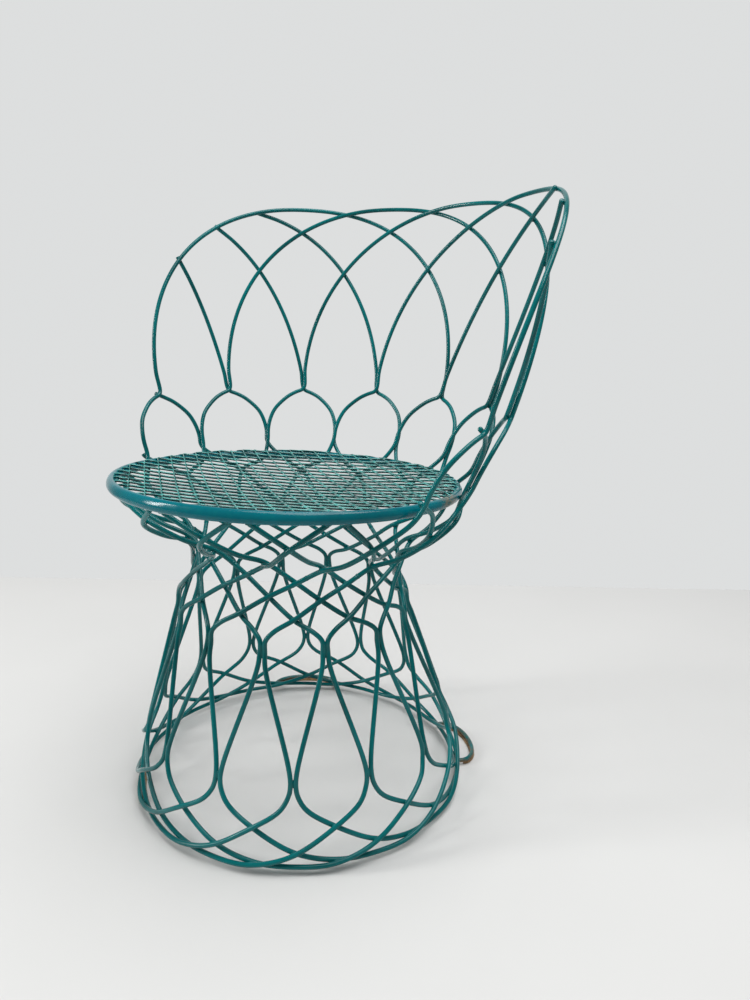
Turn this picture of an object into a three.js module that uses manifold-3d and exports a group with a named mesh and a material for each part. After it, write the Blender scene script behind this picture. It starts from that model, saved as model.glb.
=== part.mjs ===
import * as THREE from 'three';
import { mergeVertices } from 'three/addons/utils/BufferGeometryUtils.js';
import Module from 'manifold-3d';

// Garden chair of bent and welded steel rod, in millimetres, +Z up.
// The front faces -Y and left is -X. The sizes are measured from the floor under the axis of the base,
// and the finished chair is then shifted so that its origin is under the middle of its outline.

// Rod, tube and clearances
const rodDiameter = 6.35;
const ringTubeDiameter = 12.7;
const contactGap = 0.3;

// Base: fourteen hairpin loops that overlap round a circle
const loopCount = 14;
const pitchesPerLoop = 4;
const floorRadius = 237.5;
const floorClearance = 8.3;
const lowerKissRadius = 218.4;
const lowerKissHeight = 111.5;
const upperKissRadius = 175.1;
const upperKissHeight = 268.3;
const waistRadius = 146;

// Unevenness of the base: the waist sinks towards one side, and some legs are drawn in
const waistTilt = 12.7;
const waistTiltAzimuth = THREE.MathUtils.degToRad(-50);
const legDrawIn = 18;
const legDrawInAzimuth = THREE.MathUtils.degToRad(35);
const legDrawInHalfAngle = THREE.MathUtils.degToRad(35);

// Seat ring, a little higher at the front
const seatRadius = 231.4;
const seatHeight = 452;
const seatAxisY = -21;
const seatTilt = THREE.MathUtils.degToRad(-2.6);

// Crossings just above the seat ring and the feet of the arches
const crossingOverhang = 20.1;
const crossingRise = 12;
const crossingAxisY = -12.1;
const smallArchRise = 84;
const smallArchFlare = 34.6;
const archAxisY = -5.8;

// Large arches of the back
const archRise = 297;
const archFlare = 53;
const archSpanPower = 2.23;
const archRisePower = 1.85;
const archBulgeShare = 0.76;
const archSwapShare = 0.14;
const endStub = 4;

// Expanded metal of the seat
const netSpacing = 21.6;
const netStrandWidth = 3.2;
const netThickness = 2;
const netRimWidth = 5;
const netLift = 3.5;
const netSag = 10;
const netAzimuth = THREE.MathUtils.degToRad(175);
const netHalfAngle = THREE.MathUtils.degToRad(32.6);

// Feet: two loops behind and three glides
const footBulge = 30;
const footHalfAngle = THREE.MathUtils.degToRad(12.8);
const footPower = 2.3;
const rearRightAzimuth = THREE.MathUtils.degToRad(49);
const rearLeftAzimuth = THREE.MathUtils.degToRad(129);
const frontLeftAzimuth = THREE.MathUtils.degToRad(-128);
const glideHeight = 4.5;
const glideWidth = 8;
const frontGlideInset = 4.5;
const frontGlideHalfAngle = THREE.MathUtils.degToRad(9);

// Fineness of the meshes
const rodSides = 6;
const bendPerStep = THREE.MathUtils.degToRad(24);
const ringSides = 8;
const ringSteps = 72;
const archSamples = 24;
const glideSteps = 8;
const meetingHalvings = 24;

// Derived sizes
const pitch = (2 * Math.PI) / loopCount;
const rodRadius = rodDiameter / 2;
const tubeRadius = ringTubeDiameter / 2;
const layerOffset = (rodDiameter + contactGap) / 2;
const ringContact = tubeRadius + rodRadius + contactGap;
const floorHeight = floorClearance + rodRadius;
const crossingRadius = seatRadius + crossingOverhang;
const crossingHeight = seatHeight + crossingRise;
const archFootRadius = crossingRadius + smallArchFlare;
const archFootHeight = crossingHeight + smallArchRise;

// Shape of a base loop, from the middle of its floor bend to the lower kiss
const loopSpanShares = [0, 0.25, 0.5, 0.75, 0.93, 0.985, 1];
const loopRiseShares = [0, 0.02, 0.165, 0.47, 0.7, 0.86, 1];
const loopDrawInShares = [0, 0, 0.06, 0.25, 0.6, 0.85, 1];
const loopLayerShares = [0, 1, 1, 1, 0.5, 0, 0];
const loopLeans = [0, 0, 0, -22, -20, 0, 0].map(THREE.MathUtils.degToRad);

// Shape of a leg, from the lower kiss to the upper kiss
const legRiseShares = [0.12, 0.88];
const legTurnShares = [0.045, 0.955];

// Shape of a strand above the upper kiss, in pitches travelled
const cageTurnShares = [0.04, 0.17, 0.5, 1, 1.5, 2, 2.25, 2.5];
const cageRiseShares = [0.07, 0.125, 0.19, 0.306, 0.414, 0.544, 0.63, 0.767];
const cageWaistShares = [0.053, 0.211, 0.533, 0.924, 1, 0.883, 0.577, 0.273];
const cageShiftShares = [0, 0, 0, 0, 0, 0.2, 0.4, 0.6];
const cageTiltShares = [0, 0.1, 0.4, 0.8, 1, 1, 1, 0.9];
const cageDrawInShares = [1, 1, 0.9, 0.45, 0.15, 0, 0, 0];
const cageLayerShares = [0.1, 0.5, 1, 1, 1, 1, 1, 1];
const cageLeans = [-14, -31, -30, -17, 12, 47, 56, 42].map(THREE.MathUtils.degToRad);
const waistStation = 4;
const endShare = 0.12;
const crossingLean = THREE.MathUtils.degToRad(34);
const archFootLean = THREE.MathUtils.degToRad(20);
const archTopLean = THREE.MathUtils.degToRad(5);
const weldShare = 0.44;

// Shape of the side rods against a large arch: shares of its travel, and how much sooner they lean
const sideTravelShares = [0.66, 0.92, 1];
const sideLeanShare = 0.07;

// Pitches that a strand has travelled where it meets the ring, a crossing and the foot of an arch
const supportTurnShare = 2.9;
const restTurnShare = 2.8;
const crossingTurnShare = 3;
const archTurnShare = 3.5;

// Directions from the ring's tube to the rods that end under it and to those that rest against it
const supportDirectionShares = [-0.63, -0.78];
const restDirectionShares = [0.7, -0.72];

// Shape of a small arch, from the crossing above the seat to the foot of a large arch
const smallArchTurnShares = [0.02, 0.09, 0.23, 0.575, 0.8];
const smallArchRiseShares = [0.22, 0.42, 0.61, 0.84, 0.93];

const paint = { color: 0x0b6a66, roughness: 0.42, metalness: 0.0 };
const mixShare = THREE.MathUtils.lerp;

function kissAzimuth(index) {
  return -Math.PI / 2 + index * pitch;
}

function around(azimuth, radius, height, axisY = 0) {
  return new THREE.Vector3(radius * Math.cos(azimuth), axisY + radius * Math.sin(azimuth), height);
}

// Turn taken up by half the thickness of two rods that kiss side by side
function kissTurn(radius) {
  return layerOffset / (radius * pitch);
}

// How far the legs are drawn in at an azimuth
function drawnIn(azimuth) {
  const away = azimuth - legDrawInAzimuth;
  const turn = Math.atan2(Math.sin(away), Math.cos(away));
  return legDrawIn * Math.exp(-((turn / legDrawInHalfAngle) ** 2));
}

// Point of the seat ring's centreline that an azimuth of the base meets
function ringPoint(azimuth) {
  const across = new THREE.Vector2(Math.cos(azimuth), Math.sin(azimuth));
  const along = across.y * seatAxisY;
  const reach = along + Math.sqrt(along * along + seatRadius * seatRadius - seatAxisY * seatAxisY);
  const y = reach * across.y;
  return new THREE.Vector3(reach * across.x, y, seatHeight + (y - seatAxisY) * Math.tan(seatTilt));
}

function outwards(azimuth, distance, rise) {
  return new THREE.Vector3(distance * Math.cos(azimuth), distance * Math.sin(azimuth), rise);
}

// Step from the ring's centreline by a distance, in a direction given as shares outwards and upwards
function ringStep(azimuth, distance, directionShares) {
  const direction = new THREE.Vector2(...directionShares).setLength(distance);
  return outwards(azimuth, direction.x, direction.y);
}

// Step from the middle surface of the net to its outer layer (1) or inner layer (-1)
function layered(azimuth, layer, lean) {
  return outwards(azimuth, layer * layerOffset * Math.cos(lean), -layer * layerOffset * Math.sin(lean));
}

// Stations of a strand from the lower kiss to the last crossing under the seat.
// side is 1 for a strand that climbs to the right in the outer layer and -1 for its mirror inside.
function lowerStations(index, side) {
  const start = kissAzimuth(index);
  const lowTurn = 1 / 2 - kissTurn(lowerKissRadius);
  const kissRadius = upperKissRadius - drawnIn(start);
  const highTurn = kissTurn(kissRadius);
  const stations = [around(start + side * lowTurn * pitch, lowerKissRadius, lowerKissHeight)];
  legRiseShares.forEach((rise, i) => {
    const turn = mixShare(lowTurn, highTurn, legTurnShares[i]);
    const radius = mixShare(lowerKissRadius, kissRadius, rise);
    stations.push(around(start + side * turn * pitch, radius, mixShare(lowerKissHeight, upperKissHeight, rise)));
  });
  stations.push(around(start + side * highTurn * pitch, kissRadius, upperKissHeight));
  cageTurnShares.forEach((turn, i) => {
    const azimuth = start + side * Math.max(turn, highTurn) * pitch;
    const outer = i <= waistStation ? upperKissRadius : crossingRadius;
    const even = mixShare(outer, waistRadius, cageWaistShares[i]);
    const radius = even - cageDrawInShares[i] * drawnIn(azimuth);
    const sink = cageTiltShares[i] * waistTilt * Math.sin(azimuth - waistTiltAzimuth);
    const height = mixShare(upperKissHeight, crossingHeight, cageRiseShares[i]) - sink;
    const point = around(azimuth, radius, height, crossingAxisY * cageShiftShares[i]);
    stations.push(point.add(layered(azimuth, side * cageLayerShares[i], cageLeans[i])));
  });
  return stations;
}

const cageStart = legRiseShares.length + 2;
const weldPosition = cageStart + waistStation + weldShare;

// Points of a smooth curve through stations, between two positions counted in stations,
// closer together where the curve bends, and at each end so that the end is cut square
function portion(stations, from, to) {
  const curve = new THREE.CatmullRomCurve3(stations, false, 'centripetal');
  const last = stations.length - 1;
  const marks = [from, from + endShare];
  for (let i = Math.floor(from + endShare) + 1; i < to - endShare; i += 1) {
    marks.push(i);
  }
  marks.push(to - endShare, to);
  const points = [curve.getPoint(from / last)];
  for (let i = 1; i < marks.length; i += 1) {
    const start = marks[i - 1] / last;
    const end = marks[i] / last;
    const count = Math.max(1, Math.round(curve.getTangent(start).angleTo(curve.getTangent(end)) / bendPerStep));
    for (let j = 1; j <= count; j += 1) {
      points.push(curve.getPoint(mixShare(start, end, j / count)));
    }
  }
  return points;
}

// A path whose rings sit at its own points
class RodPath extends THREE.CatmullRomCurve3 {
  getUtoTmapping(share) {
    return share;
  }
}

// Moves an end of a run of points back by a distance, towards the next point
function pullBack(points, end, distance) {
  const next = end === 0 ? 1 : end - 1;
  const direction = points[next].clone().sub(points[end]).normalize();
  points[end].addScaledVector(direction, distance);
}

function rodSection() {
  const corners = [];
  for (let i = 0; i < rodSides; i += 1) {
    const angle = (2 * Math.PI * i) / rodSides;
    corners.push(new THREE.Vector2(rodRadius * Math.cos(angle), rodRadius * Math.sin(angle)));
  }
  return new THREE.Shape(corners);
}

const chair = new THREE.Group();

function addPiece(name, geometry, look) {
  const mesh = new THREE.Mesh(geometry, new THREE.MeshStandardMaterial(look));
  mesh.name = name;
  chair.add(mesh);
  return mesh;
}

function addRod(name, points) {
  const path = new RodPath(points, false, 'centripetal');
  const geometry = new THREE.ExtrudeGeometry(rodSection(), { steps: points.length - 1, extrudePath: path });
  addPiece(name, geometry, paint);
}

// Base loops

function loopHalf(middle, side) {
  const halfSpan = (pitchesPerLoop / 2 - kissTurn(lowerKissRadius)) * pitch;
  return loopSpanShares.map((span, i) => {
    const radius = mixShare(floorRadius, lowerKissRadius, loopDrawInShares[i]);
    const height = mixShare(floorHeight, lowerKissHeight, loopRiseShares[i]);
    const azimuth = middle + side * span * halfSpan;
    return around(azimuth, radius, height).add(layered(azimuth, side * loopLayerShares[i], loopLeans[i]));
  });
}

function addBaseLoop(index) {
  const middle = kissAzimuth(index) + (pitchesPerLoop + 1) * pitch / 2;
  const inner = lowerStations(index + 1, -1).reverse();
  const outer = lowerStations(index + pitchesPerLoop, 1);
  const left = loopHalf(middle, -1).reverse().slice(1);
  const right = loopHalf(middle, 1).slice(1, -1);
  const stations = [...inner, ...left, ...right, ...outer];
  const last = stations.length - 1;
  const points = portion(stations, inner.length - 1 - weldPosition, last - (outer.length - 1 - weldPosition));
  pullBack(points, 0, contactGap / 2);
  pullBack(points, points.length - 1, contactGap / 2);
  addRod(`base_loop_${String(index + 1).padStart(2, '0')}`, points);
}

for (let index = 0; index < loopCount; index += 1) {
  addBaseLoop(index);
}

// Seat ring

function onSeat(geometry, lift = 0) {
  geometry.translate(0, 0, lift);
  geometry.rotateX(seatTilt);
  geometry.translate(0, seatAxisY, seatHeight);
  return geometry;
}

addPiece('seat_ring', onSeat(new THREE.TorusGeometry(seatRadius, tubeRadius, ringSides, ringSteps)), paint);

// Rods under the front of the seat, ending against the underside of the ring

function upperStart(index, side) {
  return lowerStations(index, side).slice(cageStart + waistStation - 1);
}

const upperWeld = 1 + weldShare;

function addSupportRod(name, index, side) {
  const stations = upperStart(index, side);
  const azimuth = kissAzimuth(index) + side * supportTurnShare * pitch;
  stations.push(ringPoint(azimuth).add(ringStep(azimuth, ringContact, supportDirectionShares)));
  const points = portion(stations, upperWeld, stations.length - 1);
  pullBack(points, 0, contactGap / 2);
  addRod(name, points);
}

const supportPairs = 5;
for (let i = 0; i < supportPairs; i += 1) {
  addSupportRod(`seat_support_right_${i + 1}`, i - supportPairs, 1);
  addSupportRod(`seat_support_left_${i + 1}`, supportPairs - i, -1);
}

// Rods that pass outside the ring and cross just above it

function crossingStations(index, side) {
  const stations = upperStart(index, side);
  const restAzimuth = kissAzimuth(index) + side * restTurnShare * pitch;
  const reach = ringContact + (side + 1) * layerOffset;
  stations.push(ringPoint(restAzimuth).add(ringStep(restAzimuth, reach, restDirectionShares)));
  const azimuth = kissAzimuth(index) + side * crossingTurnShare * pitch;
  const crossing = around(azimuth, crossingRadius, crossingHeight, crossingAxisY);
  stations.push(crossing.add(layered(azimuth, side, crossingLean)));
  return stations;
}

function smallArchStations(index, side) {
  const stations = crossingStations(index, side);
  smallArchTurnShares.forEach((share, i) => {
    const turn = mixShare(crossingTurnShare, archTurnShare, share);
    const rise = smallArchRiseShares[i];
    const azimuth = kissAzimuth(index) + side * turn * pitch;
    const radius = mixShare(crossingRadius, archFootRadius, rise);
    const height = mixShare(crossingHeight, archFootHeight, rise);
    const point = around(azimuth, radius, height, mixShare(crossingAxisY, archAxisY, rise));
    stations.push(point.add(layered(azimuth, side, mixShare(crossingLean, archFootLean, rise))));
  });
  const azimuth = kissAzimuth(index) + side * archTurnShare * pitch;
  const foot = around(azimuth, archFootRadius, archFootHeight, archAxisY);
  stations.push(foot.add(layered(azimuth, side, archFootLean)));
  return stations;
}

// Point of the back's surface at a share of the large arches' rise
function backPoint(azimuth, rise, layer) {
  const flare = archFlare * rise * (1 + archBulgeShare * (1 - rise));
  const point = around(azimuth, archFootRadius + flare, archFootHeight + archRise * rise, archAxisY);
  return point.add(layered(azimuth, layer, mixShare(archFootLean, archTopLean, rise)));
}

// Pitches from the right foot of a large arch: sweep runs from 0 there to 1 at its left foot
function archTravel(sweep) {
  const cosine = Math.cos(sweep * Math.PI);
  const span = -Math.sign(cosine) * Math.abs(cosine) ** (2 / archSpanPower);
  return (span + 1) * pitchesPerLoop / 2;
}

function archHeightShare(sweep) {
  return Math.sin(sweep * Math.PI) ** (2 / archRisePower);
}

function archPoint(footAzimuth, sweep) {
  const layer = THREE.MathUtils.clamp(Math.cos(sweep * Math.PI) / archSwapShare, -1, 1);
  return backPoint(footAzimuth + archTravel(sweep) * pitch, archHeightShare(sweep), layer);
}

function archPoints(footAzimuth, from, to) {
  const count = Math.ceil(Math.abs(to - from) * archSamples);
  const points = [];
  for (let i = 1; i <= count; i += 1) {
    points.push(archPoint(footAzimuth, mixShare(from, to, i / count)));
  }
  return points;
}

function addUpperRod(name, stations, endPosition) {
  const points = portion(stations, upperWeld, endPosition);
  pullBack(points, 0, contactGap / 2);
  addRod(name, points);
}

// A full arch joins a strand of the outer layer to one of the inner layer
const fullArches = 4;
for (let i = 0; i < fullArches; i += 1) {
  const rising = smallArchStations(i, 1);
  const falling = smallArchStations(i + loopCount - 3, -1).reverse();
  const over = archPoints(kissAzimuth(i + archTurnShare), 0, 1).slice(0, -1);
  const stations = [...rising, ...over, ...falling];
  const points = portion(stations, upperWeld, stations.length - 1 - upperWeld);
  pullBack(points, 0, contactGap / 2);
  pullBack(points, points.length - 1, contactGap / 2);
  addRod(`back_arch_${i + 1}`, points);
}

// Side rods climb from the feet of the arches and end on the outline of the back
const sideRods = sideTravelShares.length;

function sideTravel(order, sweep) {
  const rise = archHeightShare(sweep);
  return sideTravelShares[order] * archTravel(sweep) + sideLeanShare * 4 * rise * (1 - rise);
}

// Sweep at which a side rod meets the arch that comes down order + 1 pitches away
function sideMeeting(order) {
  let low = 0;
  let high = 1 / 2;
  for (let i = 0; i < meetingHalvings; i += 1) {
    const middle = (low + high) / 2;
    if (sideTravel(order, middle) + archTravel(middle) < order + 1) {
      low = middle;
    } else {
      high = middle;
    }
  }
  return low;
}

function addSideRod(name, order, index, side) {
  const stations = smallArchStations(index, side);
  const end = sideMeeting(order);
  const count = Math.ceil(end * archSamples);
  for (let i = 1; i <= count; i += 1) {
    const sweep = (end * i) / count;
    const azimuth = kissAzimuth(index) + side * (archTurnShare + sideTravel(order, sweep)) * pitch;
    stations.push(backPoint(azimuth, archHeightShare(sweep), side));
  }
  const points = portion(stations, upperWeld, stations.length - 1);
  pullBack(points, 0, contactGap / 2);
  pullBack(points, points.length - 1, -endStub);
  addRod(name, points);
}

for (let i = 0; i < sideRods; i += 1) {
  addSideRod(`back_side_rod_left_${i + 1}`, i, fullArches + sideRods - 1 - i, 1);
  addSideRod(`back_side_rod_right_${i + 1}`, i, loopCount - fullArches - sideRods + 1 + i, -1);
}

// Rods that end at the outer feet of the outline arches
function addArchStub(name, index, side) {
  const stations = smallArchStations(index, side);
  const foot = stations[stations.length - 1];
  const heading = foot.clone().sub(stations[stations.length - 2]).normalize();
  stations.push(foot.clone().addScaledVector(heading, endStub));
  addUpperRod(name, stations, stations.length - 1);
}

addArchStub('arch_stub_left', fullArches + sideRods, 1);
addArchStub('arch_stub_right', fullArches + sideRods, -1);

// Rods that end where the net of rods meets the ring at the front of the arms
function addRingStub(name, index, side) {
  const crossing = crossingStations(index, side).length - 1;
  const stations = smallArchStations(index, side);
  const reach = endStub / stations[crossing].distanceTo(stations[crossing + 1]);
  addUpperRod(name, stations, crossing + reach);
}

addRingStub('ring_stub_left', fullArches + sideRods + 1, 1);
addRingStub('ring_stub_right', fullArches + sideRods - 1, -1);

// Expanded metal seat: a disc that sags in use, whose openings are a skewed grid cut off by the rim

const wasm = await Module();
wasm.setup();

function toSolid(geometry) {
  geometry.deleteAttribute('normal');
  geometry.deleteAttribute('uv');
  const merged = mergeVertices(geometry);
  return new wasm.Manifold(new wasm.Mesh({
    numProp: 3,
    vertProperties: new Float32Array(merged.getAttribute('position').array),
    triVerts: new Uint32Array(merged.getIndex().array),
  }));
}

function toGeometry(solid) {
  const mesh = solid.getMesh();
  const geometry = new THREE.BufferGeometry();
  geometry.setAttribute('position', new THREE.BufferAttribute(mesh.vertProperties, 3));
  geometry.setIndex(new THREE.BufferAttribute(mesh.triVerts, 1));
  return geometry;
}

function disc(radius, thickness) {
  const geometry = new THREE.CylinderGeometry(radius, radius, thickness, ringSteps);
  return toSolid(geometry.rotateX(Math.PI / 2).rotateZ(Math.PI / 2));
}

function netOpening(centre, along, across, side, depth) {
  const reach = side / 2;
  const corners = [[-1, -1], [1, -1], [1, 1], [-1, 1]].map(([a, b]) => centre.clone()
    .addScaledVector(along, a * reach).addScaledVector(across, b * reach));
  const geometry = new THREE.ExtrudeGeometry(new THREE.Shape(corners), { depth, bevelEnabled: false });
  return toSolid(geometry.translate(0, 0, -depth / 2));
}

function seatNet() {
  const lowerFace = netLift - netThickness / 2;
  const netRadius = seatRadius - Math.sqrt(tubeRadius ** 2 - lowerFace ** 2) - contactGap;
  const skew = 1 / Math.sin(2 * netHalfAngle);
  const along = new THREE.Vector2(Math.cos(netAzimuth - netHalfAngle), Math.sin(netAzimuth - netHalfAngle));
  const across = new THREE.Vector2(Math.cos(netAzimuth + netHalfAngle), Math.sin(netAzimuth + netHalfAngle));
  const openingSide = (netSpacing - netStrandWidth) * skew;
  const depth = 2 * netThickness;
  const reach = Math.ceil(netRadius / netSpacing) + 1;
  const inside = netRadius - netRimWidth;
  const openings = [];
  for (let i = -reach; i <= reach; i += 1) {
    for (let j = -reach; j <= reach; j += 1) {
      const centre = new THREE.Vector2()
        .addScaledVector(along, (i + 1 / 2) * netSpacing * skew)
        .addScaledVector(across, (j + 1 / 2) * netSpacing * skew);
      if (centre.length() < inside) {
        openings.push(netOpening(centre, along, across, openingSide, depth));
      }
    }
  }
  const holes = wasm.Manifold.union(openings).intersect(disc(inside, 2 * depth));
  const net = toGeometry(disc(netRadius, netThickness).subtract(holes));
  const place = net.getAttribute('position');
  for (let i = 0; i < place.count; i += 1) {
    const share = Math.hypot(place.getX(i), place.getY(i)) / netRadius;
    place.setZ(i, place.getZ(i) - netSag * (1 - share * share));
  }
  return net;
}

addPiece('seat_mesh', onSeat(seatNet(), netLift), paint);

// Feet: loops of rod that lean on the base from behind, and the glides under them

const footHeight = glideHeight + contactGap + rodRadius;
const footDrop = mixShare(floorHeight, lowerKissHeight, loopRiseShares[1]) - rodRadius - footHeight;
const flatRadius = rodRadius * Math.cos(Math.PI / rodSides);
const footRadius = floorRadius + layerOffset + Math.sqrt(flatRadius ** 2 - footDrop ** 2) + contactGap;

function footPoint(azimuth, share) {
  const bulge = footBulge * (1 - Math.abs(share) ** footPower) ** (1 / footPower);
  return around(azimuth + share * footHalfAngle, footRadius + bulge, footHeight);
}

function addFootLoop(name, azimuth) {
  const points = [];
  for (let i = -glideSteps; i <= glideSteps; i += 1) {
    points.push(footPoint(azimuth, Math.sin((i / glideSteps) * Math.PI / 2)));
  }
  addRod(name, points);
}

function glideBar(route, height) {
  const outer = route(glideWidth / 2);
  const inner = route(-glideWidth / 2).reverse();
  return new THREE.ExtrudeGeometry(new THREE.Shape([...outer, ...inner]), { depth: height, bevelEnabled: false });
}

function rearGlideRoute(azimuth, offset) {
  const points = [];
  for (let i = -glideSteps; i <= glideSteps; i += 1) {
    const share = Math.sin((i / (glideSteps + 2)) * Math.PI / 2);
    const point = footPoint(azimuth, share);
    points.push(new THREE.Vector2(point.x + offset * Math.cos(azimuth), point.y + offset * Math.sin(azimuth)));
  }
  return points;
}

function frontGlideRoute(azimuth, offset) {
  const points = [];
  for (let i = -glideSteps; i <= glideSteps; i += 1) {
    const point = around(azimuth + (i / glideSteps) * frontGlideHalfAngle, floorRadius - frontGlideInset + offset, 0);
    points.push(new THREE.Vector2(point.x, point.y));
  }
  return points;
}

const glideLook = { color: 0x7b6a4e, roughness: 0.8, metalness: 0.0 };
addFootLoop('foot_loop_right', rearRightAzimuth);
addFootLoop('foot_loop_left', rearLeftAzimuth);
addPiece('glide_rear_right', glideBar((offset) => rearGlideRoute(rearRightAzimuth, offset), glideHeight), glideLook);
addPiece('glide_rear_left', glideBar((offset) => rearGlideRoute(rearLeftAzimuth, offset), glideHeight), glideLook);
const frontGlideHeight = floorClearance - contactGap;
addPiece(
  'glide_front_left',
  glideBar((offset) => frontGlideRoute(frontLeftAzimuth, offset), frontGlideHeight),
  glideLook,
);

// The origin goes on the floor under the middle of the whole chair
const middle = new THREE.Box3().setFromObject(chair).getCenter(new THREE.Vector3());
chair.position.set(-middle.x, -middle.y, 0);

export default chair;
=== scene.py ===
import math

import bmesh
import bpy
import numpy as np
from mathutils import Matrix, Vector, kdtree, noise


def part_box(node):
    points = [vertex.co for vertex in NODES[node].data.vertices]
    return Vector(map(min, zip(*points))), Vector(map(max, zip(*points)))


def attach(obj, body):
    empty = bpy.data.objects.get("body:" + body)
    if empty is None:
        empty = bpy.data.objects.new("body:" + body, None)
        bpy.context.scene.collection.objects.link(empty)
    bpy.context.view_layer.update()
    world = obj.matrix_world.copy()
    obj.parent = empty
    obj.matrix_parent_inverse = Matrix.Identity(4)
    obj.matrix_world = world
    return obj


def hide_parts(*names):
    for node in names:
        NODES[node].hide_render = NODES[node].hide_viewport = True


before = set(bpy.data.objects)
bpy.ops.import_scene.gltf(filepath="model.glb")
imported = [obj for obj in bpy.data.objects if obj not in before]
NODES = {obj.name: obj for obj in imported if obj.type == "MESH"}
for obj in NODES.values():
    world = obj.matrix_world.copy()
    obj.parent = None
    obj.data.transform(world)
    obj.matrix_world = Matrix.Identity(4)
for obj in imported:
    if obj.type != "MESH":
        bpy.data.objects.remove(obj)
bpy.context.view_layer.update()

# Garden chair of welded steel rod: round wire, expanded metal, welds and worn paint, over the
# CAD frame
UP = np.array([0, 0, 1.0])

# Lengths in metres: the radii of rod and ring tube, and the gap that the frame leaves at a weld
ROD = 0.003175
TUBE = 0.00635
GAP = 0.0003

# The base stands around an axis behind the middle of the seat ring
BASE_BEHIND_RING = 0.021
ring_lo, ring_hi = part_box("seat_ring")
AXIS = Vector(((ring_lo.x + ring_hi.x) / 2, (ring_lo.y + ring_hi.y) / 2 + BASE_BEHIND_RING, 0.0))


# Reading the rods of the frame: six-sided prisms whose end caps are four triangles each

SAME_POINT = 1e-6
SAME_RADIUS = 1e-5
SAME_PLANE = 0.99999
CAP_TRIANGLES, CAP_CORNERS = 4, 6


def welded(name):
    bm = bmesh.new()
    bm.from_mesh(NODES[name].data)
    bmesh.ops.remove_doubles(bm, verts=bm.verts, dist=SAME_POINT)
    bm.verts.ensure_lookup_table()
    bm.faces.ensure_lookup_table()
    return bm


def flat_patch(face):
    """The faces that lie in one plane with a face and join it."""
    patch = [face]
    held = {face.index}
    for f in patch:
        for edge in f.edges:
            for other in edge.link_faces:
                if other.index not in held and other.normal.dot(face.normal) > SAME_PLANE:
                    held.add(other.index)
                    patch.append(other)
    return patch, held


def end_cap(bm):
    """The six corners of a rod's end."""
    seen = set()
    for face in bm.faces:
        if face.index in seen:
            continue
        patch, held = flat_patch(face)
        seen |= held
        corners = {v for f in patch for v in f.verts}
        if len(patch) != CAP_TRIANGLES or len(corners) != CAP_CORNERS:
            continue
        middle = sum((v.co for v in corners), Vector()) / CAP_CORNERS
        if all(abs((v.co - middle).length - ROD) < SAME_RADIUS for v in corners):
            return corners
    raise RuntimeError("no end cap")


def centreline(name):
    """The middles of a rod's rings of corners, from one end to the other."""
    bm = welded(name)
    layer = end_cap(bm)
    seen = set(layer)
    points = []
    while layer:
        points.append(np.mean([v.co[:] for v in layer], axis=0))
        ahead = {e.other_vert(v) for v in layer for e in v.link_edges} - seen
        seen |= ahead
        layer = ahead
    bm.free()
    return np.array(points)


# Curves

CURVE_STEPS = 10
DENSE_STEP = 0.002
LEAST_SAMPLES = 4
EASING_ROUNDS = 3
# Along a rod, a ring of vertices stands at every 6 mm or 7 degrees of bend, and both count together
SECTION_STEP = 0.006
SECTION_BEND = math.radians(7)


def catmull(points):
    """A centripetal Catmull-Rom curve through the points."""
    p = np.vstack([2 * points[0] - points[1], points, 2 * points[-1] - points[-2]])
    out = []
    for i in range(1, len(p) - 2):
        q = p[i - 1:i + 3]
        chords = np.linalg.norm(np.diff(q, axis=0), axis=1)
        t = np.concatenate([[0], np.cumsum(np.sqrt(chords))])
        s = np.linspace(t[1], t[2], CURVE_STEPS, endpoint=False)[:, None]
        a1 = (t[1] - s) / (t[1] - t[0]) * q[0] + (s - t[0]) / (t[1] - t[0]) * q[1]
        a2 = (t[2] - s) / (t[2] - t[1]) * q[1] + (s - t[1]) / (t[2] - t[1]) * q[2]
        a3 = (t[3] - s) / (t[3] - t[2]) * q[2] + (s - t[2]) / (t[3] - t[2]) * q[3]
        b1 = (t[2] - s) / (t[2] - t[0]) * a1 + (s - t[0]) / (t[2] - t[0]) * a2
        b2 = (t[3] - s) / (t[3] - t[1]) * a2 + (s - t[1]) / (t[3] - t[1]) * a3
        out.append((t[2] - s) / (t[2] - t[1]) * b1 + (s - t[1]) / (t[2] - t[1]) * b2)
    return np.vstack(out + [points[-1:]])


def at_marks(points, run, marks):
    """Points at marks along a line whose points stand at the distances of run."""
    return np.stack([np.interp(marks, run, points[:, k]) for k in range(3)], axis=1)


def at_spacing(points, step):
    run = np.concatenate([[0], np.cumsum(np.linalg.norm(np.diff(points, axis=0), axis=1))])
    count = max(LEAST_SAMPLES, round(run[-1] / step) + 1)
    return at_marks(points, run, np.linspace(0, run[-1], count))


def eased(points, rounds):
    """The points drawn towards their neighbours, round by round, with both ends held."""
    points = points.copy()
    for _ in range(rounds):
        points[1:-1] = (points[:-2] + 2 * points[1:-1] + points[2:]) / 4
    return points


def tangents(points):
    t = np.gradient(points, axis=0)
    return t / np.linalg.norm(t, axis=1)[:, None]


def thinned(points):
    """Fewer points: far apart where the rod is straight, and close where it bends."""
    t = tangents(points)
    length = np.linalg.norm(np.diff(points, axis=0), axis=1)
    turn = np.arccos(np.clip((t[1:] * t[:-1]).sum(1), -1, 1))
    run = np.concatenate([[0], np.cumsum(length / SECTION_STEP + turn / SECTION_BEND)])
    return at_marks(points, run, np.linspace(0, run[-1], math.ceil(run[-1]) + 1))


# Making meshes

def place_piece(name, mesh, material, replaces, smooth):
    """A piece that rides on the chair's one body and shows instead of the nodes it replaces."""
    mesh.materials.append(material)
    mesh.polygons.foreach_set("use_smooth", [smooth] * len(mesh.polygons))
    piece = bpy.data.objects.new(name, mesh)
    bpy.context.scene.collection.objects.link(piece)
    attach(piece, "root")
    for node in replaces:
        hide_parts(node)


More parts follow.
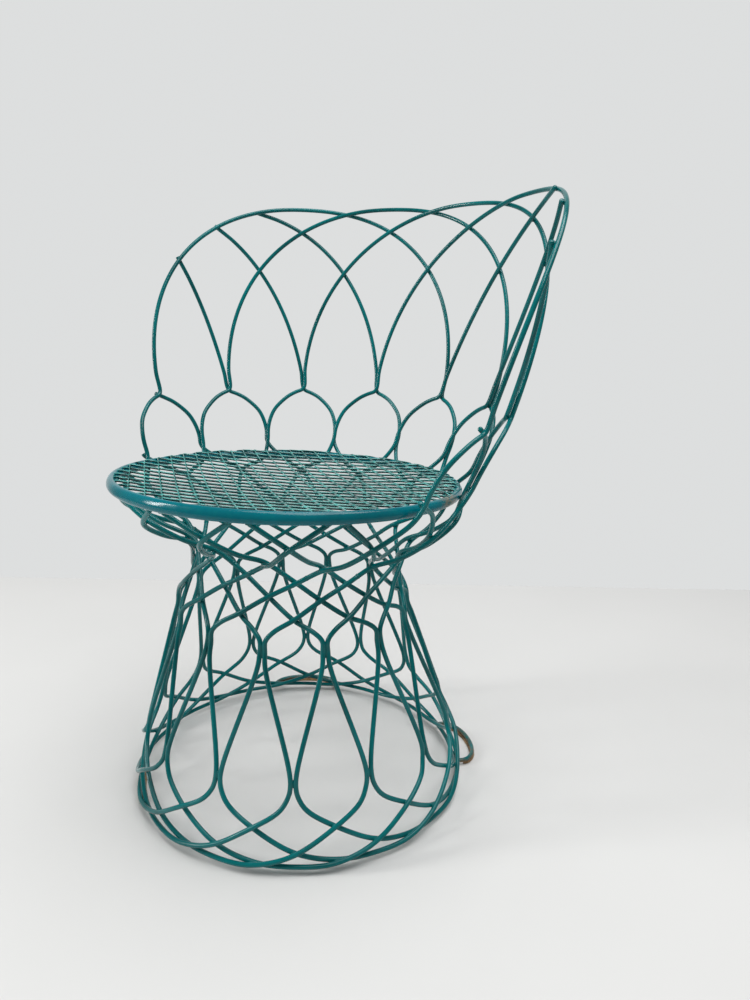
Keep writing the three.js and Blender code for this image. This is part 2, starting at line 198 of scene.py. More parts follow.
class Build:
    """Vertices and faces gathered from several shapes into one painted piece."""

    def __init__(self):
        self.verts = []
        self.faces = []
        self.count = 0

    def add(self, verts, faces):
        self.verts.append(np.asarray(verts, float))
        self.faces += [[i + self.count for i in f] for f in faces]
        self.count += len(verts)

    def piece(self, name, material, replaces=(), smooth=True):
        mesh = bpy.data.meshes.new(name)
        mesh.from_pydata(np.vstack(self.verts).tolist(), [], self.faces)
        mesh.validate()
        place_piece(name, mesh, material, replaces, smooth)


# Where a curve starts nearly upright, its first side is found from another direction
LEAST_SIDE = 0.1


def frames(points):
    """Tangents of a curve, and two directions square to them that turn as little as they can."""
    t = tangents(points)
    side = np.cross(t[0], UP)
    if np.linalg.norm(side) < LEAST_SIDE:
        side = np.cross(t[0], [1.0, 0, 0])
    side /= np.linalg.norm(side)
    sides = [side]
    for k in range(1, len(t)):
        side = side - t[k] * side.dot(t[k])
        side /= np.linalg.norm(side)
        sides.append(side)
    return t, np.array(sides), np.cross(t, np.array(sides))


def bands(rows, sides, closed):
    """Four-sided faces between rows of vertices, each row a closed ring."""
    faces = []
    for i in range(rows if closed else rows - 1):
        a, b = i * sides, (i + 1) % rows * sides
        faces += [[a + k, a + (k + 1) % sides, b + (k + 1) % sides, b + k] for k in range(sides)]
    return faces


def bar_faces(rows, sides):
    """The long faces of a bar and its two ends."""
    ends = [list(range(sides))[::-1], [(rows - 1) * sides + k for k in range(sides)]]
    return bands(rows, sides, closed=False) + ends


def sweep(build, points, radii, sides, squash=1.0, across=None):
    """A round bar along the points, or an oval one whose short way lies across."""
    t, u, v = frames(points)
    if across is not None:
        u = across - t * (across * t).sum(1)[:, None]
        u /= np.linalg.norm(u, axis=1)[:, None]
        v = np.cross(t, u)
    angle = np.linspace(0, 2 * np.pi, sides, endpoint=False)[None, :, None]
    ring = np.cos(angle) * u[:, None, :] * squash + np.sin(angle) * v[:, None, :]
    verts = (points[:, None, :] + ring * np.asarray(radii)[:, None, None]).reshape(-1, 3)
    build.add(verts, bar_faces(len(points), sides))


ROD_SIDES = 14
CHAMFER = 0.0005


def rod(build, dense):
    points = thinned(dense)
    t = tangents(points)
    points = np.vstack([points[:1], points[:1] + t[:1] * CHAMFER, points[1:-1],
                        points[-1:] - t[-1:] * CHAMFER, points[-1:]])
    radii = np.full(len(points), ROD)
    radii[[0, -1]] = ROD - CHAMFER
    sweep(build, points, radii, ROD_SIDES)


# A lump of weld swells unevenly, and each lump's seed moves its noise elsewhere
BALL_SUBDIVISIONS = 2
SWELL_SCALE = 1.7
SEED_STEP = (3.1, 1.7)
SEED_LEVEL = 0.3


def ball():
    bm = bmesh.new()
    bmesh.ops.create_icosphere(bm, subdivisions=BALL_SUBDIVISIONS, radius=1)
    verts = np.array([v.co[:] for v in bm.verts])
    faces = [[v.index for v in f.verts] for f in bm.faces]
    bm.free()
    return verts, faces


BALL, BALL_FACES = ball()


def blob(build, centre, axes, sizes, seed, rough):
    """A lump of weld: a ball stretched to three sizes along three axes, and a little uneven."""
    shift = Vector((seed * SEED_STEP[0], seed * SEED_STEP[1], SEED_LEVEL))
    swell = np.array([1 + rough * noise.noise(Vector(u) * SWELL_SCALE + shift) for u in BALL])
    verts = np.asarray(centre) + (BALL * swell[:, None] * np.asarray(sizes)) @ np.asarray(axes)
    build.add(verts, BALL_FACES)


def square(a, b):
    """Three unit axes: a, then b made square to it, and the one square to both."""
    a = a / np.linalg.norm(a)
    b = b - a * a.dot(b)
    b /= np.linalg.norm(b)
    return np.array([a, b, np.cross(a, b)])


# Materials

NOISE_DETAIL, NOISE_ROUGHNESS, NOISE_MIDDLE = 4.0, 0.55, 0.5
# Sockets of a colour mix: its factor, its two colours and its result
MIX_FACTOR, MIX_A, MIX_B, MIX_RESULT = 0, 6, 7, 2


class Nodes:
    """A material's nodes, over the object's own coordinates."""

    def __init__(self, name):
        self.material = bpy.data.materials.new(name)
        self.material.use_nodes = True
        self.tree = self.material.node_tree
        self.shader = self.tree.nodes["Principled BSDF"]
        self.place = self.tree.nodes.new("ShaderNodeTexCoord").outputs["Object"]

    def feed(self, socket, value):
        if isinstance(value, bpy.types.NodeSocket):
            self.tree.links.new(value, socket)
        else:
            socket.default_value = value

    def node(self, kind, inputs=None, **settings):
        n = self.tree.nodes.new("ShaderNode" + kind)
        for key, value in settings.items():
            setattr(n, key, value)
        for key, value in (inputs or {}).items():
            self.feed(n.inputs[key], value)
        return n

    def noise(self, scale, detail=NOISE_DETAIL, rough=NOISE_ROUGHNESS):
        return self.node("TexNoise", {"Vector": self.place, "Scale": scale, "Detail": detail,
                                      "Roughness": rough}).outputs["Fac"]

    def ramp(self, value, low, high, start=0.0, end=1.0):
        return self.node("MapRange", {"Value": value, "From Min": low, "From Max": high,
                                      "To Min": start, "To Max": end}, clamp=True).outputs["Result"]

    def spots(self, low, high, **kind):
        """Noise as a share, 0 below low and 1 above high."""
        return self.ramp(self.noise(**kind), low, high)

    def math(self, operation, a, b=0.0):
        return self.node("Math", {0: a, 1: b}, operation=operation).outputs[0]

    def wavy(self, value, scale, size):
        """A value moved up and down by noise."""
        swing = self.math("SUBTRACT", self.noise(scale), NOISE_MIDDLE)
        wave = self.math("MULTIPLY", swing, size)
        return self.math("ADD", value, wave)

    def below(self, value, low, high):
        """1 below low and 0 above high."""
        return self.math("SUBTRACT", 1.0, self.ramp(value, low, high))

    def mix(self, share, a, b):
        n = self.tree.nodes.new("ShaderNodeMix")
        n.data_type = "RGBA"
        for key, value in ((MIX_FACTOR, share), (MIX_A, a), (MIX_B, b)):
            self.feed(n.inputs[key], value)
        return n.outputs[MIX_RESULT]

    def set(self, **sockets):
        """Feed the shader's sockets, whose names have spaces where the keys have underscores."""
        for key, value in sockets.items():
            self.feed(self.shader.inputs[key.replace("_", " ")], value)

    def bump(self, height, strength, distance):
        return self.node("Bump", {"Height": height, "Strength": strength,
                                  "Distance": distance}).outputs["Normal"]


def colour(code):
    """The linear colour of an sRGB code of six digits."""
    values = [int(code[i:i + 2], 16) / 255 for i in (0, 2, 4)]
    linear = [v / 12.92 if v <= 0.04045 else ((v + 0.055) / 1.055) ** 2.4 for v in values]
    return (*linear, 1.0)


# Spots in the paint: the scale of their noise, and the range in which they fade in
PATCHES = dict(scale=9.0, low=0.35, high=0.65)
FADED = dict(scale=160.0, low=0.45, high=0.75, detail=6.0)
CHIPS = dict(scale=420.0, low=0.70, high=0.74, detail=3.0, rough=0.6)
CHIPPED_AREAS = dict(scale=22.0, low=0.5, high=0.62)
# The next spots are painted top light, not chalk: noisy patches where upward faces are lightened as
# if lit from above
PAINTED_TOP_LIGHT_SPOTS = dict(scale=70.0, low=0.3, high=0.7)
SCUFFS = dict(scale=300.0, low=0.36, high=0.5, detail=6.0)
FADED_SHARE = 0.3
# The last colour is painted top light, a light mint laid on upward faces in place of light from
# above
FADED_COLOUR, CHIP_COLOUR, PAINTED_TOP_LIGHT_COLOUR = "087872", "3c3a34", "6cccc4"
# The share of up in the normal of a face from which painted top light lies on it, and where it is
# full: upward faces are lightened as light from above would light them
TOP_LIGHT_FROM, TOP_LIGHT_FULL = 0.25, 0.95
# Wear is whole within this share of its reach
WEAR_CORE = 0.55
WEAR_EDGE_SCALE = 120.0
# Feet are bare up to a height, with a ragged edge
FOOT_EDGE_SCALE, FOOT_EDGE_SIZE, FOOT_CORE = 90.0, 0.9, 0.5
FOOT_GRAIN_SCALE = 240.0
FOOT_COLOURS = ("8a6b48", "4b3a2a")
# The gloss and the grain of the coat
GLOSS_NOISE = dict(scale=60.0, detail=5.0)
GLOSS_RANGE = dict(low=0.3, high=0.7, start=0.1, end=0.24)
FINE_GRAIN, BROAD_GRAIN = dict(scale=900.0, detail=2.0), dict(scale=170.0, detail=4.0)
FINE_SHARE = 0.4
GRAIN_STRENGTH, GRAIN_DEPTH = 0.09, 0.0004
SPECULAR = 0.25


def paint(name, dark, light, painted_top_light=0.0, wear=None, bare_height=None):
    """Old paint: patches, faded spots and chips, with painted top light on upward faces, a worn
    place or bare feet.
    """
    m = Nodes(name)
    tone = m.mix(m.spots(**PATCHES), colour(dark), colour(light))
    tone = m.mix(m.math("MULTIPLY", m.spots(**FADED), FADED_SHARE), tone, colour(FADED_COLOUR))
    chips = m.math("MULTIPLY", m.spots(**CHIPS), m.spots(**CHIPPED_AREAS))
    tone = m.mix(chips, tone, colour(CHIP_COLOUR))
    # Painted top light: faces that look up are lightened in noisy spots, as light from above would
    # light them
    if painted_top_light:
        normal = m.node("NewGeometry").outputs["Normal"]
        up = m.node("SeparateXYZ", {0: normal}).outputs["Z"]
        share = m.math("MULTIPLY", m.ramp(up, TOP_LIGHT_FROM, TOP_LIGHT_FULL), m.spots(**PAINTED_TOP_LIGHT_SPOTS))
        tone = m.mix(m.math("MULTIPLY", share, painted_top_light), tone, colour(PAINTED_TOP_LIGHT_COLOUR))
    if wear:
        place, reach, shade = wear
        off = m.node("VectorMath", {0: m.place, 1: place}, operation="DISTANCE").outputs["Value"]
        share = m.below(m.wavy(off, WEAR_EDGE_SCALE, reach), reach * WEAR_CORE, reach)
        tone = m.mix(m.math("MULTIPLY", share, m.spots(**SCUFFS)), tone, colour(shade))
    if bare_height:
        height = m.node("SeparateXYZ", {0: m.place}).outputs["Z"]
        edge = m.wavy(height, FOOT_EDGE_SCALE, bare_height * FOOT_EDGE_SIZE)
        share = m.below(edge, bare_height * FOOT_CORE, bare_height)
        bare = m.mix(m.noise(FOOT_GRAIN_SCALE), *(colour(code) for code in FOOT_COLOURS))
        tone = m.mix(share, tone, bare)
    gloss = m.ramp(m.noise(**GLOSS_NOISE), **GLOSS_RANGE)
    grain = m.math("ADD", m.math("MULTIPLY", m.noise(**FINE_GRAIN), FINE_SHARE),
                   m.noise(**BROAD_GRAIN))
    m.set(Base_Color=tone, Roughness=gloss, Normal=m.bump(grain, GRAIN_STRENGTH, GRAIN_DEPTH),
          Specular_IOR_Level=SPECULAR)
    return m.material


GLIDE_PATCHES = dict(scale=60.0, low=0.35, high=0.65)
GLIDE_DIRT = dict(scale=420.0, low=0.5, high=0.7, detail=6.0)
GLIDE_COLOURS = ("b08d63", "6d5135")
DIRT_COLOUR = "3a2d20"
GLIDE_GRAIN = dict(scale=500.0, detail=6.0)
GLIDE_ROUGHNESS, GLIDE_GRAIN_STRENGTH, GLIDE_GRAIN_DEPTH = 0.8, 0.6, 0.0006


def worn(name):
    m = Nodes(name)
    tone = m.mix(m.spots(**GLIDE_PATCHES), *(colour(code) for code in GLIDE_COLOURS))
    tone = m.mix(m.spots(**GLIDE_DIRT), tone, colour(DIRT_COLOUR))
    grain = m.bump(m.noise(**GLIDE_GRAIN), GLIDE_GRAIN_STRENGTH, GLIDE_GRAIN_DEPTH)
    m.set(Base_Color=tone, Roughness=GLIDE_ROUGHNESS, Normal=grain)
    return m.material


# The worn place at the right end of the ring, its reach and its colour
WORN_PLACE = ((AXIS.x + 0.221, AXIS.y + 0.015, 0.451), 0.03, "6d6f64")
BARE_HEIGHT = 0.012
RODS = paint("teal_paint_rods", "005355", "006e71")
RING = paint("teal_paint_ring", "005762", "006c79", wear=WORN_PLACE)
# The expanded metal carries painted top light: its upward faces are lightened towards a light mint
MESH = paint("teal_paint_expanded_metal", "002e30", "004345", painted_top_light=0.85)
WELDS = paint("teal_paint_welds", "005355", "006a6d")
FEET = paint("teal_paint_worn_feet", "005355", "006e71", bare_height=BARE_HEIGHT)
TAN = worn("worn_tan_glide")


# Rods

def is_rod(name):
    return name not in ("seat_ring", "seat_mesh") and not name.startswith("glide")


rod_names = sorted(n for n in NODES if is_rod(n))
dense = {}
for name in rod_names:
    dense[name] = eased(at_spacing(catmull(centreline(name)), DENSE_STEP), EASING_ROUNDS)
    build = Build()
    rod(build, dense[name])
    build.piece(name + "_round", FEET if name.startswith("foot") else RODS, replaces=[name])


# Seat ring

def ring_plane():
    """Middle, axes and radius of the seat ring, read from the frame's ring."""
    bm = welded("seat_ring")
    points = np.array([v.co[:] for v in bm.verts])
    bm.free()
    centre = points.mean(0)
    normal = np.linalg.svd(points - centre)[2][2]
    z = normal * np.sign(normal[2])
    y = np.cross(z, [1.0, 0, 0])
    y /= np.linalg.norm(y)
    x = np.cross(y, z)
    radius = np.hypot((points - centre) @ x, (points - centre) @ y).max() - TUBE
    return centre, x, y, z, radius


ring_centre, ring_x, ring_y, ring_z, RING_RADIUS = ring_plane()

# The bead of weld and paint on the ring, which is highest at an azimuth near the front
BEAD = 0.0034
BEAD_AZIMUTH = math.radians(-80)
BEAD_LEAST = 0.15
BEAD_FALL, CROWN_FALL = 0.7, 1.5
RING_STEPS, RING_SIDES = 288, 24
RING_WAVE, RING_WAVE_SCALE = 0.00012, 14


def bead_share(angle):
    """1 at the front, where weld and paint bury the edge of the mesh, and little at the back."""
    front = max(0.0, math.cos(angle - BEAD_AZIMUTH))
    return BEAD_LEAST + (1 - BEAD_LEAST) * front ** BEAD_FALL


def outward(angle):
    return math.cos(angle) * ring_x + math.sin(angle) * ring_y


def on_ring(angle):
    return ring_centre + RING_RADIUS * outward(angle)


def ring_section(angle):
    """The corners of the tube's section at an angle of the ring."""
    section = []
    for k in range(RING_SIDES):
        b = 2 * math.pi * k / RING_SIDES
        crown = BEAD * bead_share(angle) * max(0.0, math.sin(b)) ** CROWN_FALL
        wave = RING_WAVE * noise.noise(Vector((math.cos(angle) * RING_WAVE_SCALE,
                                               math.sin(angle) * RING_WAVE_SCALE, b)))
        across = math.cos(b) * outward(angle) + math.sin(b) * ring_z
        section.append(on_ring(angle) + (TUBE + wave) * across + crown * ring_z)
    return section


build = Build()
ring_verts = [co for i in range(RING_STEPS) for co in ring_section(2 * math.pi * i / RING_STEPS)]
ring_faces = [[p, s, r, q] for p, q, r, s in bands(RING_STEPS, RING_SIDES, closed=True)]
build.add(ring_verts, ring_faces)
build.piece("seat_ring_round", RING, replaces=["seat_ring"])

# Expanded metal: zigzag strips of tilted strand, joined side by side at their bonds

LONG_WAY, SHORT_WAY = 0.0362, 0.0265
LONG_AZIMUTH, SHORT_AZIMUTH = math.radians(174.5), math.radians(95.5)
ZIGZAG_START = 0.0061
STRAND, PLATE = 0.0028, 0.0017
SLOPE = math.radians(-54)
TWIST = -0.3
# Shares of a zigzag: the level run at a bond, and how far its bends are rounded
BOND_SHARE, ROUNDED_SHARE = 0.06, 0.10
# The strand widens at a bond and is a little uneven
BOND_WIDENING, BOND_FALL = 0.2, 8
STRAND_WAVE, STRAND_WAVE_SCALE = 0.06, 200
# The sheet's dish, its height over the ring's middle and its own waves
SAG, SAG_RADIUS = 0.0114, 0.235
MESH_LIFT = 0.0088
SHEET_WAVE, SHEET_WAVE_SCALE, SHEET_WAVE_LEVEL = 0.0009, 9, 1.3
# Where the sheet meets the ring it is pressed flat over a short way
PRESS_START, PRESS_LENGTH, PRESS_FLATTENING, PRESS_DROP = 0.007, 0.009, 0.6, 0.0016
# Its edge laps over the ring, is jagged and goes into the bead
MESH_REACH = RING_RADIUS + 0.0042
BURIED = 0.0042
JAG, JAG_SCALE, JAG_LEVEL = 0.001, 60, 0.5
# Half a strip's length, strips on each side, marks along a zigzag and in the shortest strip
HALF_SHEET, HALF_ROWS, MARKS_PER_WAY, LEAST_MARKS = 0.3, 24, 20, 3
STRAND_CORNERS = ((-1, -1), (1, -1), (1, 1), (-1, 1))
long_dir = np.array([math.cos(LONG_AZIMUTH), math.sin(LONG_AZIMUTH)])
short_dir = np.array([math.cos(SHORT_AZIMUTH), math.sin(SHORT_AZIMUTH)])


def zigzag(x):
    """Height of a rounded zigzag, from -1 to 1, with level runs at the bonds."""
    phase = (x / LONG_WAY) % 1.0
    s = 1 - abs(2 * phase - 1)
    s = (s - BOND_SHARE) / (1 - 2 * BOND_SHARE)
    s = min(1.0, max(0.0, s))
    return 2 * (s + ROUNDED_SHARE * (s * s * (3 - 2 * s) - s)) - 1


def seat_point(x, y, z):
    """A point of the flat sheet, brought to its place over the ring and into the dish."""
    plan = x * long_dir + y * short_dir
    r = float(np.hypot(*plan))
    pressed = min(1.0, max(0.0, (r - RING_RADIUS + PRESS_START) / PRESS_LENGTH))
    z = z * (1 - PRESS_FLATTENING * pressed) - PRESS_DROP * pressed
    z -= SAG * (1 - (r / SAG_RADIUS) ** 2)
    over = max(0.0, r - RING_RADIUS)
    z -= TUBE - math.sqrt(max(TUBE ** 2 - over ** 2, 0))
    wave = SHEET_WAVE * noise.noise(Vector((plan[0] * SHEET_WAVE_SCALE, plan[1] * SHEET_WAVE_SCALE,
                                            SHEET_WAVE_LEVEL)))
    return ring_centre + plan[0] * ring_x + plan[1] * ring_y + (MESH_LIFT + z + wave) * ring_z


def within_edge(x, y):
    """Whether a point of the flat sheet lies inside its jagged edge."""
    plan = x * long_dir + y * short_dir
    jag = JAG * noise.noise(Vector((x * JAG_SCALE, y * JAG_SCALE, JAG_LEVEL)))
    jag -= BURIED * bead_share(math.atan2(plan[1], plan[0]))
    return np.hypot(*plan) < MESH_REACH + jag


def strand_section(x, y, s):
    """The four corners of the tilted strand at a place where the zigzag's height is s."""
    z = -s * TWIST * STRAND / 2 * math.sin(SLOPE)
    uneven = noise.noise(Vector((x * STRAND_WAVE_SCALE, y * STRAND_WAVE_SCALE, 0)))
    wide = STRAND / 2 * (1 + BOND_WIDENING * s ** BOND_FALL + STRAND_WAVE * uneven)
    section = []
    for a, b in STRAND_CORNERS:
        dy = a * wide * math.cos(SLOPE) - b * PLATE / 2 * math.sin(SLOPE)
        dz = a * wide * math.sin(SLOPE) + b * PLATE / 2 * math.cos(SLOPE)
        section.append(seat_point(x, y + dy, z + dz))
    return section


def strip(build, row):
    """One zigzag strip of the sheet, cut where it passes the sheet's round edge."""
    middle = (row + 0.5) * SHORT_WAY / 2
    half = SHORT_WAY / 4 - STRAND / 2 * math.cos(SLOPE)
    shift = ZIGZAG_START if row % 2 == 0 else LONG_WAY / 2 + ZIGZAG_START
    run, runs = [], []
    for x in np.arange(-HALF_SHEET, HALF_SHEET, LONG_WAY / MARKS_PER_WAY):
        s = zigzag(x + shift)
        if within_edge(x, middle + half * s):
            run.append((x, s))
        elif run:
            runs.append(run)
            run = []
    for run in runs:
        if len(run) < LEAST_MARKS:
            continue
        verts = [co for x, s in run for co in strand_section(x, middle + half * s, s)]
        build.add(verts, bar_faces(len(run), len(STRAND_CORNERS)))


build = Build()
for row in range(-HALF_ROWS, HALF_ROWS):
    strip(build, row)
build.piece("expanded_metal", MESH, replaces=["seat_mesh"], smooth=False)

# Welds between rods, found where two rods come together

WELD_REACH = 2 * ROD + 0.0010
# Rods nearer than this are one line, joined end to end
BUTTING = 0.004
# More samples than this between two pairs start another meeting
MEETING_GAP = 6
# Rods that meet at less than this angle lie side by side, which is called a kiss here
KISS_ANGLE = math.radians(16)
KISS_POINTS, KISS_EASING, KISS_SIDES, KISS_SQUASH = 4, 4, 10, 0.72
KISS_RADIUS, KISS_WAVE, KISS_WAVE_SCALE = 0.0023, 0.10, 400
KISS_END, KISS_TAPER = 1.03, 4
SHORT_KISS_SIZES = (0.0019, 0.004, 0.0024)
CROSSING_SIZES, CROSSING_SEED = (0.0016, 0.0037, 0.0027), 0.5
ROUGH_WELD = 0.14


def near_pairs():
    """For each two rods that come together: the samples of both, and how far apart they are."""
    tree = kdtree.KDTree(sum(len(p) for p in dense.values()))
    owners = []
    for name in rod_names:
        for i, p in enumerate(dense[name]):
            tree.insert(p, len(owners))
            owners.append((name, i))
    tree.balance()
    near = {}
    for name in rod_names:
        for i, p in enumerate(dense[name]):
            for _, k, far in tree.find_range(p, WELD_REACH):
                other, j = owners[k]
                if other > name:
                    near.setdefault((name, other), []).append((i, j, far))
    return near


def meetings(pairs):
    """The pairs of samples of two rods, parted into the places where they meet."""
    pairs = sorted(pairs)
    groups = [[pairs[0]]]
    for pair in pairs[1:]:
        if pair[0] - groups[-1][-1][0] > MEETING_GAP:
            groups.append([])
        groups[-1].append(pair)
    return groups


def side_by_side(a, b, group):
    """Points of two rods that face each other, along a kiss."""
    best = {}
    for i, j, far in group:
        if i not in best or far < best[i][1]:
            best[i] = (j, far)
    return [(dense[a][i], dense[b][j]) for i, (j, _) in sorted(best.items())]


kisses, crossings = [], []
for (a, b), pairs in near_pairs().items():
    for group in meetings(pairs):
        i, j, far = min(group, key=lambda pair: pair[2])
        if far < BUTTING:
            continue
        ta, tb = tangents(dense[a])[i], tangents(dense[b])[j]
        if abs(ta.dot(tb)) > math.cos(KISS_ANGLE):
            kisses.append(side_by_side(a, b, group))
        else:
            crossings.append((dense[a][i], dense[b][j], ta, tb))

kiss_build, cross_build = Build(), Build()
for number, kiss in enumerate(kisses):
    middle = np.array([(p + q) / 2 for p, q in kiss])
    between = np.array([q - p for p, q in kiss])
    if len(kiss) < KISS_POINTS:
        blob(cross_build, middle.mean(0), square(between[0], UP), SHORT_KISS_SIZES,
             number, ROUGH_WELD)
        continue
    middle = eased(middle, KISS_EASING)
    share = np.linspace(-1, 1, len(middle))
    size = KISS_RADIUS * np.sqrt(np.clip(KISS_END - share ** KISS_TAPER, 0, 1))
    size *= [1 + KISS_WAVE * noise.noise(Vector(p) * KISS_WAVE_SCALE) for p in middle]
    sweep(kiss_build, middle, size, KISS_SIDES, squash=KISS_SQUASH, across=between)
for number, (p, q, ta, tb) in enumerate(crossings):
    if ta.dot(tb) < 0:
        tb = -tb
    blob(cross_build, (p + q) / 2, square(q - p, ta + tb), CROSSING_SIZES,
         number + CROSSING_SEED, ROUGH_WELD)
kiss_build.piece("kiss_welds", WELDS)
cross_build.piece("crossing_welds", WELDS)

# Butt welds between the base loops and the upper rods, and welds on the seat ring

BUTT_REACH = 0.002
BUTT_SIZES, BUTT_ROUGHNESS = (0.0030, 0.0037, 0.0037), 0.12
BUTT_SIDE = np.array([0.3, 0.2, 0.9])
RING_REACH = TUBE + ROD + 0.0012
# Samples at each end of a rod, where its weld on the ring is larger
END_SAMPLES = 3
END_SIZES, PASSING_SIZES = (0.0034, 0.0062, 0.0044), (0.0022, 0.0042, 0.0034)
RING_SEED, RING_ROUGHNESS = 7.3, 0.2
# A trace of the ring's own direction, in case a rod points straight at the ring
TRACE = 1e-6

butt_build, ring_build = Build(), Build()
ends = [(n, e) for n in rod_names for e in (0, -1)]
done = set()
for number, (n, e) in enumerate(ends):
    p = dense[n][e]
    for m, g in ends:
        if m != n and (m, g) not in done and np.linalg.norm(p - dense[m][g]) < BUTT_REACH:
            axes = square(tangents(dense[n])[e], BUTT_SIDE)
            blob(butt_build, (p + dense[m][g]) / 2, axes, BUTT_SIZES, number, BUTT_ROUGHNESS)
            done.add((n, e))
for number, name in enumerate(rod_names):
    flat = dense[name] - ring_centre
    x, y, z = flat @ ring_x, flat @ ring_y, flat @ ring_z
    off = np.hypot(np.hypot(x, y) - RING_RADIUS, z)
    if off.min() > RING_REACH:
        continue
    i = int(off.argmin())
    a = math.atan2(y[i], x[i])
    core = on_ring(a)
    out = (dense[name][i] - core) / np.linalg.norm(dense[name][i] - core)
    along = -math.sin(a) * ring_x + math.cos(a) * ring_y
    touch = core + out * (TUBE + GAP / 2)
    t = tangents(dense[name])[i]
    axes = square(out, t - out * out.dot(t) + TRACE * along)
    last = i < END_SAMPLES or i >= len(flat) - END_SAMPLES
    blob(ring_build, touch, axes, END_SIZES if last else PASSING_SIZES, number + RING_SEED,
         RING_ROUGHNESS)
butt_build.piece("butt_welds", WELDS)
ring_build.piece("ring_welds", WELDS)

# Glides, with rounded and slightly worn edges

FLAT_ANGLE = math.radians(1)
GLIDE_BEVEL, BEVEL_SEGMENTS, BEVEL_PROFILE = 0.0009, 3, 0.6
GLIDE_WAVE, GLIDE_WAVE_SCALE, GLIDE_WAVE_SHIFT = 0.0004, 260, Vector((5, 5, 5))

for name in sorted(n for n in NODES if n.startswith("glide")):
    bm = welded(name)
    bmesh.ops.recalc_face_normals(bm, faces=bm.faces)
    bmesh.ops.dissolve_limit(bm, angle_limit=FLAT_ANGLE, verts=bm.verts, edges=bm.edges)
    lo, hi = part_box(name)
    bmesh.ops.bevel(bm, geom=list(bm.edges), offset=GLIDE_BEVEL, segments=BEVEL_SEGMENTS,
                    profile=BEVEL_PROFILE, affect="EDGES")
    bmesh.ops.triangulate(bm, faces=bm.faces)
    for v in bm.verts:
        place = v.co * GLIDE_WAVE_SCALE
        v.co += Vector((noise.noise(place), noise.noise(place + GLIDE_WAVE_SHIFT), 0)) * GLIDE_WAVE
        v.co.z = max(lo.z, min(hi.z, v.co.z))
    mesh = bpy.data.meshes.new(name + "_worn")
    bm.to_mesh(mesh)
    bm.free()
    place_piece(name + "_worn", mesh, TAN, [name], smooth=True)

# Stage, seen by a camera that stands where the photo's stood

YAW, PITCH, ROLL = 0.6165, 0.2451, 0.0174
EYE_FROM_AXIS = Vector((0.6825, -0.7782, 0.6794))
# The photo's focal length and height in pixels, and the camera's sensor in millimetres
FOCAL_PIXELS, PHOTO_PIXELS, SENSOR = 752.7, 1000, 36
eye = AXIS + EYE_FROM_AXIS
ahead = Vector((-math.sin(YAW), math.cos(YAW), 0))
right = Vector((math.cos(YAW), math.sin(YAW), 0))

# The floor ends where the photo's wall stands, and the world's bright side shows behind it
FLOOR_AHEAD, FLOOR_BEHIND, FLOOR_SIDE = 1.83, 1.8, 4.5
FLOOR_COLOUR, FLOOR_DARKER, FLOOR_ROUGHNESS = "d6d6d5", 0.97, 0.75
FLOOR_PATCHES = dict(scale=1.7, low=0.3, high=0.7, detail=3.0)


def floor_material():
    m = Nodes("stage_floor_white")
    base = colour(FLOOR_COLOUR)
    soft = tuple(c * FLOOR_DARKER for c in base[:3]) + (1.0,)
    m.set(Base_Color=m.mix(m.spots(**FLOOR_PATCHES), base, soft), Roughness=FLOOR_ROUGHNESS)
    return m.material


def floor():
    middle = Vector((eye.x, eye.y, 0))
    corners = [middle + ahead * far + right * side
               for far, side in ((-FLOOR_BEHIND, -FLOOR_SIDE), (-FLOOR_BEHIND, FLOOR_SIDE),
                                 (FLOOR_AHEAD, FLOOR_SIDE), (FLOOR_AHEAD, -FLOOR_SIDE))]
    mesh = bpy.data.meshes.new("stage_floor")
    mesh.from_pydata(corners, [], [[0, 1, 2, 3]])
    mesh.materials.append(floor_material())
    piece = bpy.data.objects.new("stage_floor", mesh)
    bpy.context.scene.collection.objects.link(piece)


# The room's light by how far a direction faces ahead: dim all round, bright at the wall
WALL_FACING = {"From Min": 0.55, "From Max": 0.79, "To Min": 0.2, "To Max": 0.735}
ROOM_TINT = (0.985, 1.0, 1.0, 1)


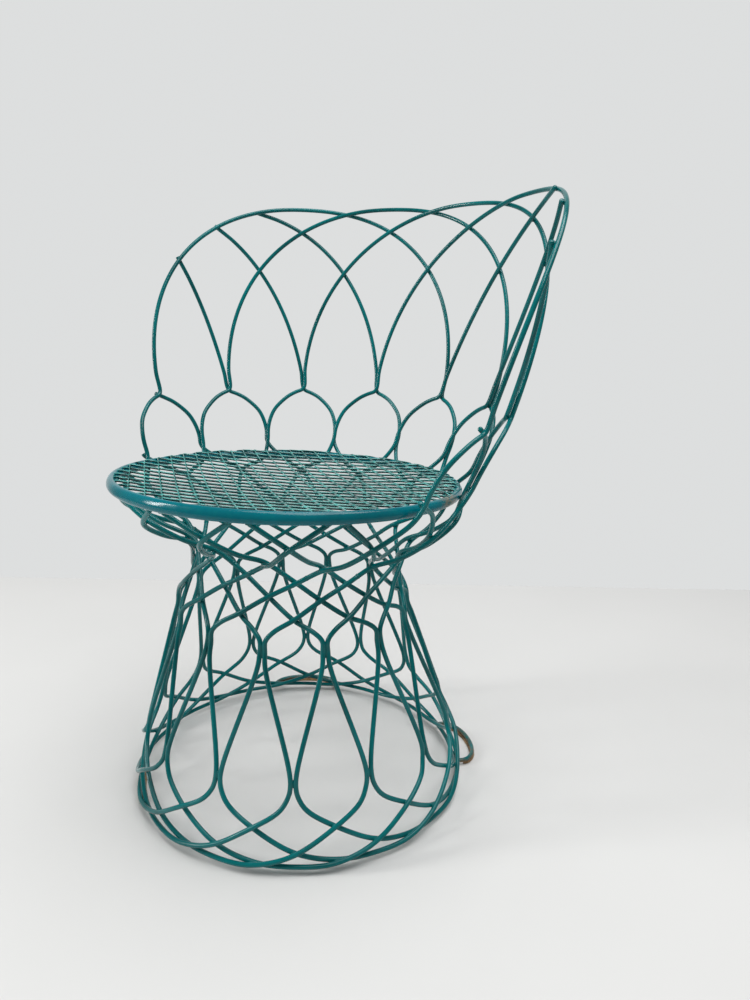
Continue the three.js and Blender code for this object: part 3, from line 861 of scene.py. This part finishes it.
def room():
    """A dim room whose wall behind the chair is bright."""
    world = bpy.data.worlds.new("room")
    world.use_nodes = True
    tree = world.node_tree
    facing = tree.nodes.new("ShaderNodeVectorMath")
    facing.operation = "DOT_PRODUCT"
    facing.inputs[1].default_value = ahead
    tree.links.new(tree.nodes.new("ShaderNodeTexCoord").outputs["Generated"], facing.inputs[0])
    bright = tree.nodes.new("ShaderNodeMapRange")
    for key, value in WALL_FACING.items():
        bright.inputs[key].default_value = value
    tree.links.new(facing.outputs["Value"], bright.inputs["Value"])
    background = tree.nodes["Background"]
    background.inputs["Color"].default_value = ROOM_TINT
    tree.links.new(bright.outputs["Result"], background.inputs["Strength"])
    bpy.context.scene.world = world


LIGHT_TARGET = Vector((0, 0, 0.42))
# Where each lamp hangs, in metres from the axis, and its size in metres, power and tint
LAMPS = {
    "window_light": dict(to_right=-3.6, further=-0.6, height=2.0, size=(0.5, 2.0), power=84,
                         tint=(1.0, 0.99, 0.97)),
    "ceiling_light": dict(to_right=0.5, further=-0.3, height=3.0, size=(2.2, 2.2), power=88,
                          tint=(1.0, 1.0, 1.0)),
}


def area(name, to_right, further, height, size, power, tint):
    place = AXIS + right * to_right + ahead * further + Vector((0, 0, height))
    light = bpy.data.lights.new(name, "AREA")
    light.shape = "RECTANGLE"
    light.size, light.size_y = size
    light.energy = power
    light.color = tint
    lamp = bpy.data.objects.new(name, light)
    lamp.location = place
    lamp.rotation_euler = (LIGHT_TARGET - place).to_track_quat("-Z", "Y").to_euler()
    bpy.context.scene.collection.objects.link(lamp)


def photo_camera():
    data = bpy.data.cameras.new("photo_camera")
    data.sensor_width = SENSOR
    data.lens = FOCAL_PIXELS / PHOTO_PIXELS * SENSOR
    camera = bpy.data.objects.new("photo_camera", data)
    look = ahead * math.cos(PITCH) - Vector((0, 0, math.sin(PITCH)))
    up = right.cross(look)
    across = right * math.cos(ROLL) + up * math.sin(ROLL)
    upward = up * math.cos(ROLL) - right * math.sin(ROLL)
    turned = Matrix((across, upward, -look)).transposed().to_4x4()
    camera.matrix_world = Matrix.Translation(eye) @ turned
    bpy.context.scene.collection.objects.link(camera)
    bpy.context.scene.camera = camera


floor()
room()
for name, lamp in LAMPS.items():
    area(name, **lamp)
bpy.context.scene.view_settings.view_transform = "Standard"
photo_camera()

bpy.context.view_layer.update()
